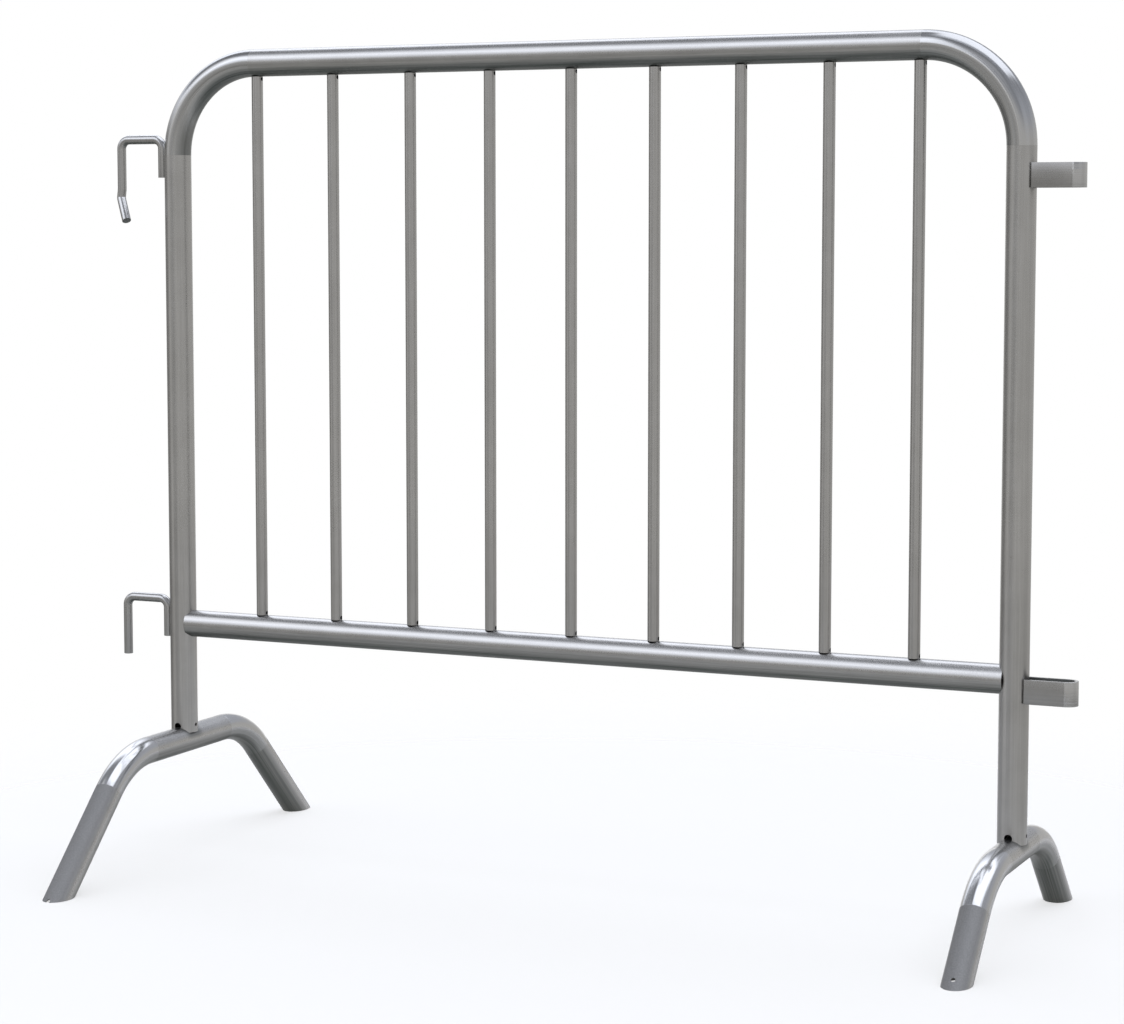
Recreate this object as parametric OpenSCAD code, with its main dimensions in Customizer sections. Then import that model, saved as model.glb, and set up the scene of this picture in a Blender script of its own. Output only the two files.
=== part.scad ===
// Pedestrian barrier panel: one bent tube hoop, a bottom rail, nine pickets, two bridge feet of different
// height, two rod hooks on the left upright and two strap loops on the right upright, all welded together.
// Millimetres, +Z up, +X along the panel towards the loops, front face towards -Y, ground at z = 0.

/* [Tube stock] */
// Outside diameter of the tube of the hoop, the bottom rail and the feet
tube_d = 38.1; // [35:0.1:42]
// Wall thickness of that tube
tube_wall = 2; // [1.5:0.1:3]
// Outside diameter of the picket tube
picket_d = 15.9; // [12.7:0.1:20]
// Wall thickness of the picket tube
picket_wall = 1.2; // [0.9:0.1:2]
// Diameter of the hook rod
rod_d = 12.7; // [10:0.1:14]

/* [Frame] */
// Distance between the axes of the two uprights
frame_w = 1226; // [1150:1:1400]
// Height of the top rail's axis above the ground
top_z = 1129.5; // [1080:0.5:1200]
// Height of the bottom rail's axis above the ground
rail_z = 333.4; // [300:0.1:350]
// Bend radius of the hoop's corners, on the tube's axis
hoop_bend = 127; // [115:1:130]
// Distance of the end pickets' axes past the ends of the hoop's bends
picket_clear = 4.6; // [2:0.1:15]
// Share of the tube's radius at which the tips of a saddle cut are trimmed square
saddle_share = 0.62; // [0.55:0.01:0.7]

/* [Feet] */
// Height of the left foot's crest axis
left_foot_z = 163.7; // [150:0.1:175]
// Half the length of the straight stretch on top of the left foot
left_foot_flat = 98.8; // [80:0.1:130]
// Height of the right foot's crest axis
right_foot_z = 112.4; // [105:0.1:120]
// Half the length of the straight stretch on top of the right foot
right_foot_flat = 67.3; // [60:0.1:100]
// Bend radius of the feet, on the tube's axis
foot_bend = 139.7; // [120:0.1:145]
// Angle of the legs below the horizontal
leg_angle = 45; // [43:1:50]

/* [Hooks] */
// Distance between the two leg axes of a hook
hook_gap = 68.6; // [60:0.1:80]
// Bend radius of the hooks, on the rod's axis
hook_bend = 12.7; // [10:0.1:16]
// Drop of the upper hook's arm axis below the top rail's axis
upper_hook_drop = 104.3; // [95:0.1:130]
// Rise of the lower hook's arm axis above the bottom rail's axis
lower_hook_rise = 33.6; // [26:0.1:46]
// Length of a hook's short leg below its arm axis
hook_short = 54; // [45:0.5:60]
// Length of the lower hook's long leg below its arm axis
hook_long = 84; // [75:0.5:95]
// Length of the upper hook's long leg from its arm axis to its kink
hook_kink = 82.5; // [75:0.5:95]
// Length of the upper hook's kinked tail, on its axis
tail_len = 39; // [25:0.5:45]
// Angle of the kinked tail away from the vertical
tail_tilt = 34; // [10:1:40]
// Direction of the kinked tail seen from above, from +X towards -Y
tail_turn = 42; // [0:1:90]

/* [Loops] */
// Width of the strap (its height on the panel)
strap_w = 31; // [25:0.1:35]
// Thickness of the strap
strap_t = 4.76; // [3:0.01:6]
// Clear width inside a loop
loop_gap = 20; // [16:0.1:24]
// Distance from the upright's axis to the start of a loop's round end
loop_flat = 67.5; // [55:0.1:80]
// Drop of the upper loop's middle below the top rail's axis
upper_loop_drop = 163.5; // [150:0.1:185]
// Drop of the lower loop's middle below the bottom rail's axis
lower_loop_drop = 12.4; // [0:0.1:24]

/* [Vent holes] */
// Diameter of the vent hole in the front of each upright's foot
front_vent_d = 10.4; // [6:0.1:12]
// Height of that hole's axis above the crest of the foot
front_vent_rise = 2; // [0:0.1:4]
// Diameter of the vent hole in the side of each upright's foot
side_vent_d = 5; // [3:0.1:7]
// Height of that hole's axis above the crest of the foot
side_vent_rise = 3.4; // [2:0.1:12]
// Diameter of the vent holes in the pickets
picket_vent_d = 4.4; // [3:0.1:5]
// Distance of a picket's vent holes from its ends
picket_vent_in = 3.2; // [2.8:0.1:10]
// Diameter of the vent holes low on the legs of the feet
leg_vent_d = 5.6; // [5:0.1:6.4]
// Distance of the left foot's vent holes from the leg's lower end, along its outer side
left_vent_in = 2.4; // [1.5:0.1:2.4]
// Distance of the right foot's vent holes from the leg's lower end, along its outer side
right_vent_in = 15.2; // [10:0.1:40]

/* [Welds] */
// Radius of the weld lumps on pickets and hooks
small_weld_r = 2.6; // [2:0.1:3.5]
// Radius of the weld lumps on the tube and strap joints
weld_r = 4; // [3:0.1:5]

/* [Hidden] */
tube_r = tube_d / 2;
bore_d = tube_d - 2 * tube_wall;
picket_r = picket_d / 2;
rod_r = rod_d / 2;
half_w = frame_w / 2;
saddle_trim = tube_r * saddle_share;
upper_hook_z = top_z - upper_hook_drop;
lower_hook_z = rail_z + lower_hook_rise;
upper_loop_z = top_z - upper_loop_drop;
lower_loop_z = rail_z - lower_loop_drop;
hook_short_x = tube_r + rod_r;
hook_long_x = hook_short_x + hook_gap;
loop_r = loop_gap / 2 + strap_t;
loop_root = sqrt(tube_r * tube_r - loop_gap * loop_gap / 4);
reach_left = half_w + hook_long_x + rod_r;
reach_right = half_w + loop_flat + loop_r;
shift_x = (reach_left - reach_right) / 2;
left_x = shift_x - half_w;
right_x = shift_x + half_w;
picket_count = 9;
picket_pitch = (frame_w - 2 * (hoop_bend + picket_clear)) / (picket_count - 1);
picket_z0 = rail_z + tube_r;
picket_z1 = top_z - tube_r;
past = 1;
lap = 3;
lap_step = 0.08;
tube_fn = 40;
rod_fn = 28;
hole_fn = 24;
weld_fn = 14;
steel = [0.68, 0.69, 0.70];
weld_grey = [0.55, 0.56, 0.57];

function picket_x(i) = shift_x + (i - (picket_count + 1) / 2) * picket_pitch;

// A round bar along +X, +Y or +Z from a start point
module bar_x(p, len, d, fn) {
    translate(p)
        rotate([0, 90, 0])
            cylinder(h = len, d = d, $fn = fn);
}

module bar_y(p, len, d, fn) {
    translate(p)
        rotate([-90, 0, 0])
            cylinder(h = len, d = d, $fn = fn);
}

module bar_z(p, len, d, fn) {
    translate(p)
        cylinder(h = len, d = d, $fn = fn);
}

// A bent stretch of round bar about +Z, from +X towards +Y
module bend(radius, angle, d, fn) {
    rotate_extrude(angle = angle, $fn = 48)
        translate([radius, 0])
            circle(d = d, $fn = fn);
}

// Outside (or bore) of the hoop, its uprights ending at the given heights
module hoop_solid(d, left_end, right_end) {
    corner_z = top_z - hoop_bend;
    bar_z([left_x, 0, left_end], corner_z - left_end, d, tube_fn);
    bar_z([right_x, 0, right_end], corner_z - right_end, d, tube_fn);
    bar_x([left_x + hoop_bend, 0, top_z], frame_w - 2 * hoop_bend, d, tube_fn);
    translate([right_x - hoop_bend, 0, corner_z])
        rotate([90, 0, 0])
            bend(hoop_bend, 90, d, tube_fn);
    translate([left_x + hoop_bend, 0, corner_z])
        rotate([90, 0, 180])
            bend(hoop_bend, 90, d, tube_fn);
}

module frame_hoop() {
    left_end = left_foot_z + saddle_trim;
    right_end = right_foot_z + saddle_trim;
    color(steel)
        difference() {
            hoop_solid(tube_d, left_end, right_end);
            hoop_solid(bore_d, left_end - past, right_end - past);
            upright_cuts(left_x, left_foot_z);
            upright_cuts(right_x, right_foot_z);
        }
}

// Saddle cut and vent holes at the lower end of an upright
module upright_cuts(x, foot_z) {
    crest = foot_z + tube_r;
    bar_y([x, -tube_d, foot_z], 2 * tube_d, tube_d, tube_fn);
    bar_y([x, -tube_d, crest + front_vent_rise], tube_d, front_vent_d, hole_fn);
    bar_x([x, 0, crest + side_vent_rise], tube_d, side_vent_d, hole_fn);
}

module bottom_rail() {
    x0 = left_x + saddle_trim;
    len = frame_w - 2 * saddle_trim;
    color(steel)
        difference() {
            bar_x([x0, 0, rail_z], len, tube_d, tube_fn);
            bar_x([x0 - past, 0, rail_z], len + 2 * past, bore_d, tube_fn);
            bar_z([left_x, 0, rail_z - tube_d], 2 * tube_d, tube_d, tube_fn);
            bar_z([right_x, 0, rail_z - tube_d], 2 * tube_d, tube_d, tube_fn);
        }
}

module picket(i) {
    x = picket_x(i);
    color(steel)
        difference() {
            bar_z([x, 0, picket_z0], picket_z1 - picket_z0, picket_d, rod_fn);
            bar_z([x, 0, picket_z0 - past], picket_z1 - picket_z0 + 2 * past, picket_d - 2 * picket_wall, rod_fn);
            bar_x([x, 0, picket_z0 + picket_vent_in], picket_d, picket_vent_d, hole_fn);
            bar_x([x, 0, picket_z1 - picket_vent_in], picket_d, picket_vent_d, hole_fn);
        }
}

// Distance on the ground from a foot's middle to the axis of its legs
function leg_reach(foot_z, flat) = flat + foot_bend * tan(leg_angle / 2) + foot_z / tan(leg_angle);

// Outside (or bore) of a foot, its legs running on below the ground. The straight stretches lap a little
// into the bends, which are larger by a hair, so that the stretches join into one solid.
module foot_solid(d, foot_z, flat) {
    leg_len = foot_z / sin(leg_angle) + tube_d;
    bar_y([0, -flat - lap, foot_z], 2 * (flat + lap), d, tube_fn);
    for (turn = [0, 180])
        rotate([0, 0, turn])
            translate([0, flat, foot_z - foot_bend]) {
                rotate([0, -90, 0])
                    bend(foot_bend, leg_angle, d + 2 * lap_step, tube_fn);
                rotate([-leg_angle, 0, 0])
                    bar_y([0, -lap, foot_bend], leg_len, d, tube_fn);
            }
}

// Vent hole through the outer side of a leg
module leg_vent(reach, vent_in) {
    tip = reach + tube_r / sin(leg_angle);
    translate([0, tip - vent_in * cos(leg_angle), vent_in * sin(leg_angle)])
        rotate([-leg_angle, 0, 0])
            bar_z([0, 0, -tube_r], tube_d, leg_vent_d, hole_fn);
}

module foot(x, foot_z, flat, vent_in) {
    reach = leg_reach(foot_z, flat);
    color(steel)
        translate([x, 0, 0])
            difference() {
                foot_solid(tube_d, foot_z, flat);
                foot_solid(bore_d, foot_z, flat);
                translate([-tube_d, -2 * reach, -3 * tube_d])
                    cube([2 * tube_d, 4 * reach, 3 * tube_d]);
                for (turn = [0, 180])
                    rotate([0, 0, turn])
                        leg_vent(reach, vent_in);
            }
}

module left_foot() {
    foot(left_x, left_foot_z, left_foot_flat, left_vent_in);
}

module right_foot() {
    foot(right_x, right_foot_z, right_foot_flat, right_vent_in);
}

// The hook's short leg, arm and straight long leg
module hook_body(z, long) {
    short_x = left_x - hook_short_x;
    long_x = left_x - hook_long_x;
    bar_z([short_x, 0, z - hook_short], hook_short - hook_bend, rod_d, rod_fn);
    bar_x([long_x + hook_bend, 0, z], hook_gap - 2 * hook_bend, rod_d, rod_fn);
    bar_z([long_x, 0, z - long], long - hook_bend, rod_d, rod_fn);
    translate([short_x - hook_bend, 0, z - hook_bend])
        rotate([90, 0, 0])
            bend(hook_bend, 90, rod_d, rod_fn);
    translate([long_x + hook_bend, 0, z - hook_bend])
        rotate([90, 0, 180])
            bend(hook_bend, 90, rod_d, rod_fn);
}

module upper_hook() {
    color(steel) {
        hook_body(upper_hook_z, hook_kink);
        translate([left_x - hook_long_x, 0, upper_hook_z - hook_kink])
            rotate([0, 0, -tail_turn])
                rotate([0, 180 - tail_tilt, 0])
                    cylinder(h = tail_len, d = rod_d, $fn = rod_fn);
        translate([left_x - hook_long_x, 0, upper_hook_z - hook_kink])
            sphere(d = rod_d + 2 * lap_step, $fn = rod_fn);
    }
}

module lower_hook() {
    color(steel)
        hook_body(lower_hook_z, hook_long);
}

// A strap bent to a U, its two square-cut legs meeting the upright with their inner edges
module loop(z) {
    color(steel)
        translate([right_x, 0, z - strap_w / 2]) {
            for (side = [loop_gap / 2, -loop_r])
                translate([loop_root, side, 0])
                    cube([loop_flat - loop_root, strap_t, strap_w]);
            translate([loop_flat, 0, 0])
                rotate([0, 0, -90])
                    rotate_extrude(angle = 180, $fn = 48)
                        translate([loop_gap / 2, 0])
                            square([strap_t, strap_w]);
        }
}

module upper_loop() {
    loop(upper_loop_z);
}

module lower_loop() {
    loop(lower_loop_z);
}

// Weld bead round a picket's end at height z, on its far side, on a rail whose axis is at rail_axis
module picket_bead(i, z, rail_axis) {
    translate([picket_x(i), 0, 0])
        difference() {
            translate([0, 0, z])
                rotate([0, 0, 74])
                    bend(picket_r, 80, 2 * small_weld_r, weld_fn);
            bar_x([-tube_d, 0, rail_axis], 2 * tube_d, tube_d, tube_fn);
            bar_z([0, 0, z - tube_d], 2 * tube_d, picket_d, rod_fn);
        }
}

module picket_top_welds() {
    color(weld_grey)
        for (i = [1 : picket_count])
            picket_bead(i, picket_z1, top_z);
}

module picket_bottom_welds() {
    color(weld_grey)
        for (i = [1 : picket_count])
            picket_bead(i, picket_z0, rail_z);
}

// Weld bead under the far side of the bottom rail's end, beside the upright at x; side is 1 or -1
module rail_bead(x, side) {
    difference() {
        translate([x + side * tube_r * sin(56), 0, rail_z])
            rotate([0, 90, 0])
                rotate([0, 0, 20])
                    bend(tube_r, 28, 2 * weld_r, weld_fn);
        bar_x([x - 2 * tube_d, 0, rail_z], 4 * tube_d, tube_d, tube_fn);
        bar_z([x, 0, rail_z - 2 * tube_d], 4 * tube_d, tube_d, tube_fn);
    }
}

module rail_welds() {
    color(weld_grey) {
        rail_bead(left_x, 1);
        rail_bead(right_x, -1);
    }
}

// Weld bead along the saddle of an upright on its foot, on the far side
module foot_bead(x, foot_z) {
    difference() {
        translate([x, 0, foot_z + tube_r * sin(70)])
            rotate([0, 0, 74])
                bend(tube_r, 50, 2 * weld_r, weld_fn);
        bar_y([x, -2 * tube_d, foot_z], 4 * tube_d, tube_d, tube_fn);
        bar_z([x, 0, foot_z - 2 * tube_d], 4 * tube_d, tube_d, tube_fn);
    }
}

module foot_welds() {
    color(weld_grey) {
        foot_bead(left_x, left_foot_z);
        foot_bead(right_x, right_foot_z);
    }
}

// Weld lumps down the groove between a hook's short leg and the upright, on the far side
module hook_lumps(z) {
    for (k = [0 : 5])
        translate([left_x - tube_r, small_weld_r, z - hook_bend - (hook_short - hook_bend) * (k + 0.5) / 6])
            sphere(r = 2 * small_weld_r, $fn = weld_fn);
}

module hook_welds() {
    color(weld_grey)
        difference() {
            union() {
                hook_lumps(upper_hook_z);
                hook_lumps(lower_hook_z);
            }
            translate([left_x - tube_d, -2 * tube_d, 0])
                cube([2 * tube_d, 2 * tube_d, top_z]);
            bar_z([left_x, 0, 0], top_z, tube_d, tube_fn);
            for (z = [upper_hook_z, lower_hook_z])
                bar_z([left_x - hook_short_x, 0, z - hook_short - tube_d], hook_short + tube_d, rod_d, rod_fn);
        }
}

// Weld lumps in the groove between a loop's far leg and the upright
module loop_lumps(z) {
    for (k = [-2 : 2])
        translate([right_x + loop_root, loop_r, z + k * strap_w / 6])
            sphere(r = weld_r, $fn = weld_fn);
}

module loop_welds() {
    color(weld_grey)
        difference() {
            union() {
                loop_lumps(upper_loop_z);
                loop_lumps(lower_loop_z);
            }
            bar_z([right_x, 0, 0], top_z, tube_d, tube_fn);
            for (z = [upper_loop_z, lower_loop_z])
                translate([right_x + loop_root, loop_gap / 2, z - strap_w])
                    cube([loop_flat, strap_t, 2 * strap_w]);
        }
}

frame_hoop();
bottom_rail();
picket(1);  // picket_1
picket(2);  // picket_2
picket(3);  // picket_3
picket(4);  // picket_4
picket(5);  // picket_5
picket(6);  // picket_6
picket(7);  // picket_7
picket(8);  // picket_8
picket(9);  // picket_9
left_foot();
right_foot();
upper_hook();
lower_hook();
upper_loop();
lower_loop();
picket_top_welds();
picket_bottom_welds();
rail_welds();
foot_welds();
hook_welds();
loop_welds();
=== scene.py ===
import math

import bmesh
import bpy
from mathutils import Matrix, Vector


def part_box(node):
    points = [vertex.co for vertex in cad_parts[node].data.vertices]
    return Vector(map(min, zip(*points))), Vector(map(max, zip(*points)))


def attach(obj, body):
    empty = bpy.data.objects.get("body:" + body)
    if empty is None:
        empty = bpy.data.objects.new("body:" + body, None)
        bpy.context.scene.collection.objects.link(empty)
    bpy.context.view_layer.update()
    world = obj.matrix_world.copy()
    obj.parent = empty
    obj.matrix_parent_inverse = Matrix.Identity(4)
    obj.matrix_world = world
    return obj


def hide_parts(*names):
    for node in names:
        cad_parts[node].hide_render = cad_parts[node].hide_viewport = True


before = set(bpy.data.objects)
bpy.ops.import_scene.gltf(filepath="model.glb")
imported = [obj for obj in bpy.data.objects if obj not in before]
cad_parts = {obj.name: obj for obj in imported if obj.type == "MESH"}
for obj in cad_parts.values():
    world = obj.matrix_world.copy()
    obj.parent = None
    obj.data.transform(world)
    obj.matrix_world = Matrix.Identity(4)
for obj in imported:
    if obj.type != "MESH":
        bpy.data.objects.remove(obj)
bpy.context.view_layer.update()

bl_info = {
    "name": "Pedestrian barrier panel",
    "version": (1, 0, 0),
    "blender": (4, 5, 0),
    "location": "3D View > Sidebar > Barrier",
    "description": "Dresses the packed barrier panel: bent tubes, bars, hooks, loops, welds and their satin steel",
    "category": "Object",
}

MM = 0.001
TUBE_MM = 38.1


def middle(node, axis):
    """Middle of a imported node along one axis."""
    low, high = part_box(node)
    return (low[axis] + high[axis]) / 2


LEFT_X = middle("left_foot", 0)
RIGHT_X = middle("right_foot", 0)
RAIL_Z = middle("bottom_rail", 2)
TOP_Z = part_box("frame_hoop")[1].z - TUBE_MM / 2 * MM
FEET = (("left_foot", LEFT_X), ("right_foot", RIGHT_X))
PICKETS = ["picket_%d" % i for i in range(1, 10)]
HOOKS = ("upper_hook", "lower_hook")
LOOPS = ("upper_loop", "lower_loop")

# The legs lean by 45 degrees. LEG_SLOPE is the sine of that, BEND_CUT the share of the bend radius up to its corner.
LEG_SLOPE = math.sqrt(0.5)
BEND_CUT = math.tan(math.radians(45) / 2)

# Half the width of the step between two stretches of a piece, in a material.
EDGE = 0.2 * MM
LEG_EDGE = 0.3 * MM


def length(label, about, default_mm):
    """A length property in metres, its default given in millimetres."""
    return bpy.props.FloatProperty(
        name=label, description=about, default=default_mm * MM, min=0, precision=5, unit="LENGTH", subtype="DISTANCE")


def tone(label, about, default):
    """A colour property."""
    return bpy.props.FloatVectorProperty(
        name=label, description=about, default=default, min=0, max=1, size=3, subtype="COLOR")


def share(label, about, default):
    """A number from 0 to 1."""
    return bpy.props.FloatProperty(name=label, description=about, default=default, min=0, max=1, subtype="FACTOR")


class BarrierTubes(bpy.types.PropertyGroup):
    """Sizes of the hoop, the rail, the pickets and the feet."""
    tube_d: length("Tube", "Outside diameter of the hoop, rail and feet", TUBE_MM)
    tube_wall: length("Tube wall", "Wall thickness of the tube", 2)
    picket_d: length("Picket", "Outside diameter of the pickets", 15.9)
    picket_wall: length("Picket wall", "Wall thickness of the pickets", 1.2)
    hoop_bend: length("Hoop bend", "Bend radius of the hoop's corners", 127)
    foot_bend: length("Foot bend", "Bend radius of the feet", 139.7)
    saddle: share("Saddle trim", "Share of the tube's radius at which saddle tips are trimmed", 0.62)
    front_vent: length("Front vent", "Hole in the front of each upright's foot", 10.4)
    front_vent_rise: length("Front vent rise", "Height of that hole above the foot's crest", 2)
    side_vent: length("Side vent", "Hole in the side of each upright's foot", 5)
    side_vent_rise: length("Side vent rise", "Height of that hole above the foot's crest", 3.4)
    picket_vent: length("Picket vent", "Holes near the ends of the pickets", 5.6)
    picket_vent_in: length("Picket vent place", "Distance of those holes from the picket's ends", 3.2)
    leg_vent: length("Leg vent", "Holes low on the legs of the feet", 5.6)
    left_vent_in: length("Left leg vent place", "Distance of the hole from the leg's end", 2.4)
    right_vent_in: length("Right leg vent place", "Distance of the hole from the leg's end", 15.2)


class BarrierFittings(bpy.types.PropertyGroup):
    """Sizes of the hooks, the loops and the welds."""
    rod_d: length("Hook rod", "Diameter of the hook rod", 12.7)
    hook_bend: length("Hook bend", "Bend radius of the hooks", 12.7)
    hook_gap: length("Hook gap", "Distance between the legs of a hook", 68.6)
    hook_short: length("Short leg", "Length of the short leg below the arm", 54)
    hook_long: length("Long leg", "Length of the lower hook's long leg below the arm", 84)
    hook_kink: length("Kink", "Length of the upper hook's long leg down to its kink", 82.5)
    tail_len: length("Tail", "Length of the kinked tail", 39)
    kink_out: length("Kink swell", "How far the kink stands out from the long leg", 1.6)
    strap_w: length("Strap width", "Width of the loop strap", 31)
    strap_t: length("Strap thickness", "Thickness of the loop strap", 4.76)
    loop_gap: length("Loop gap", "Clear width inside a loop", 20)
    loop_flat: length("Loop reach", "Distance from the upright's axis to the loop's round end", 67.5)
    edge_round: length("Edge rounding", "Rounding of the cut edges of rods and straps", 0.5)
    bead_small: length("Small bead", "Radius of the welds on pickets and hooks", 2.6)
    bead_large: length("Large bead", "Radius of the welds on tubes and straps", 4)


class BarrierFinish(bpy.types.PropertyGroup):
    """Colours and gloss of the steel and the stage."""
    steel: tone("Steel", "Satin steel of the straight stretches", (0.52, 0.515, 0.505))
    steel_dark: tone("Steel shade", "Darker mottling of the steel", (0.43, 0.425, 0.415))
    bend: tone("Drawn steel", "Brighter steel of the drawn bends", (0.56, 0.565, 0.57))
    # Matt colour of the legs' tops: a duller finish, darker than the steel as painted shade.
    leg: tone("Leg steel", "Duller steel on top of the legs", (0.225, 0.225, 0.225))
    # Colour of the painted shade on undersides, in bores and on inner faces.
    painted_shade_tone: tone("Underside", "Dull film on the undersides", (0.063, 0.071, 0.067))
    weld: tone("Weld", "Weld metal", (0.34, 0.33, 0.32))
    satin: share("Satin roughness", "Roughness of the straight stretches", 0.28)
    legs: share("Leg roughness", "Roughness of the legs of the feet", 0.62)
    drawn: share("Bend roughness", "Roughness of the bends", 0.2)
    floor: tone("Floor", "Pale floor", (0.86, 0.86, 0.86))
    ceiling: bpy.props.FloatProperty(
        name="Ceiling light", description="Brightness of the studio's ceiling", default=2.42, min=0, max=4)


def tube_settings():
    """Sizes of the tubes."""
    return bpy.context.scene.barrier_tubes


def fitting_settings():
    """Sizes of the hooks, loops and welds."""
    return bpy.context.scene.barrier_fittings


def finish_settings():
    """Colours and gloss."""
    return bpy.context.scene.barrier_finish


class Sum:
    """A socket of a node tree. Arithmetic on it adds Math nodes."""

    def __init__(self, graph, socket):
        self.graph = graph
        self.socket = socket

    def math(self, operation, *values):
        """A Math node in this socket's tree."""
        return self.graph.add("ShaderNodeMath", {"operation": operation}, dict(enumerate(values)))

    def __add__(self, other):
        return self.math("ADD", self, other)

    def __radd__(self, other):
        return self.math("ADD", other, self)

    def __sub__(self, other):
        return self.math("SUBTRACT", self, other)

    def __rsub__(self, other):
        return self.math("SUBTRACT", other, self)

    def __mul__(self, other):
        return self.math("MULTIPLY", self, other)

    def __rmul__(self, other):
        return self.math("MULTIPLY", other, self)

    def __truediv__(self, other):
        return self.math("DIVIDE", self, other)

    def __rtruediv__(self, other):
        return self.math("DIVIDE", other, self)

    def __neg__(self):
        return 0.0 - self

    def __abs__(self):
        return self.math("ABSOLUTE", self)

    def root(self):
        """Square root."""
        return self.math("SQRT", self)

    def whole(self):
        """Nearest whole number."""
        return self.math("ROUND", self)

    def at_least(self, other):
        """The larger of two values."""
        return self.math("MAXIMUM", self, other)

    def towards(self, other, by):
        """This value moved towards another by a share of the difference."""
        return self + (other - self) * by

    def ramp(self, start, end, low=0.0, high=1.0):
        """A smooth step from low at start to high at end."""
        return self.graph.add(
            "ShaderNodeMapRange", {"interpolation_type": "SMOOTHSTEP"},
            {"Value": self, "From Min": start, "From Max": end, "To Min": low, "To Max": high})

    def fade(self, start, end):
        """A smooth step from 1 at start down to 0 at end."""
        return 1.0 - self.ramp(start, end)

    def step(self, at=0.0, soft=EDGE):
        """A narrow step from 0 to 1."""
        return self.ramp(at - soft, at + soft)


class Graph:
    """A node tree with one way to add a node."""

    def __init__(self, tree):
        self.tree = tree

    def add(self, kind, settings=None, sockets=None, out=0):
        """Adds a node, sets it up, links or sets its sockets and returns one of its outputs, if it has any."""
        node = self.tree.nodes.new(kind)
        for key, value in (settings or {}).items():
            setattr(node, key, value)
        for key, value in (sockets or {}).items():
            if isinstance(value, Sum):
                self.tree.links.new(value.socket, node.inputs[key])
            else:
                node.inputs[key].default_value = value
        return Sum(self, node.outputs[out]) if len(node.outputs) else None

    def split(self, vector):
        """The three parts of a vector."""
        node = self.add("ShaderNodeSeparateXYZ", sockets={0: vector}).socket.node
        return [Sum(self, out) for out in node.outputs]

    def vector(self, *parts):
        """A vector from its three parts."""
        return self.add("ShaderNodeCombineXYZ", sockets=dict(enumerate(parts)))

    def noise(self, at, detail, scale=1.0, roughness=0.5):
        """Noise between 0 and 1."""
        return self.add("ShaderNodeTexNoise", sockets={
            "Vector": at, "Scale": scale, "Detail": detail, "Roughness": roughness})

    def mixed(self, factor, first, second):
        """A colour between two colours."""
        return self.add("ShaderNodeMix", {"data_type": "RGBA"}, {"Factor": factor, 6: first, 7: second}, out=2)

    def metal(self, colour, metallic, rough, height, strength, distance):
        """Ends a material in a metal surface with bumps of a given strength and depth."""
        bump = self.add("ShaderNodeBump", sockets={"Strength": strength, "Distance": distance, "Height": height})
        shader = self.add("ShaderNodeBsdfPrincipled", sockets={
            "Base Color": colour, "Metallic": metallic, "Roughness": rough, "Normal": bump})
        self.add("ShaderNodeOutputMaterial", sockets={"Surface": shader})


def rgba(colour):
    """A colour with full alpha."""
    return (colour[0], colour[1], colour[2], 1.0)


def new_material(name):
    """A material and its empty node tree."""
    material = bpy.data.materials.new(name)
    material.use_nodes = True
    material.node_tree.nodes.clear()
    return material, Graph(material.node_tree)


# Satin steel. Scales of the noises are per metre, pairs are the ends of a smooth step.
GRAIN_SCALE, MOTTLE_SCALE, DRAW_SCALE, LINES_ALONG = 620.0, 24.0, 150.0, 7.0
GRAIN_DETAIL, MOTTLE_DETAIL, DRAW_DETAIL, LINES_DETAIL, NOISE_ROUGH = 2.0, 5.0, 2.0, 3.0, 0.6
SPOTS_STEP, PATCHES_STEP, LINES_STEP = (0.35, 0.68), (0.3, 0.7), (0.3, 0.7)
SPOTS_SHARE, PATCHES_SHARE, LINES_SHARE = 0.12, 0.33, 0.55
ROUGH_SPOTS, ROUGH_PATCHES, ROUGH_LINES = 0.04, 0.02, 0.1
BUMP_GRAIN, BUMP_LINES, BUMP_DRAW, BUMP_STRENGTH, BUMP_DEPTH = 0.04, 0.25, 10.0, 0.1, 0.4 * MM
# Duller, rougher and less metallic tops of the legs on faces turned up, with pits and weaker lines; their darker
# colour is painted shade, with painted light on faces turned to the right and painted shade on faces turned to the
# left.
DULL_UP, PAINTED_SIDE_RAMP, PAINTED_SIDE_SHADE, PAINTED_SIDE_LIGHT = (0.2, 0.5), (-0.8, 0.9), 0.8, 1.2
DULL_COVER, DULL_PITS, DULL_METAL, DULL_GRAIN, DULL_LINES = 0.95, 0.2, 0.4, 2.4, 0.15
# Drawn bends: lighter along the lines, with painted shade on faces turned up.
DRAWN_LINES, DRAWN_LEAST, DRAWN_UP = 0.6, 0.3, (0.1, 0.55)
# Painted shade: darker on faces turned down, more of them near the ground; those faces are also rougher.
SHADE_DOWN, SHADE_LOW_DOWN, SHADE_LOW_TOP, SHADE_LOW_SHARE = (-0.08, 0.7), (-0.15, 0.35), (0.36, 0.6), 0.68
UNDERSIDE_ROUGH, SHADE_LINE_BREAK = 0.2, 0.15
BLACK = (0.0, 0.0, 0.0, 1.0)


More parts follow.
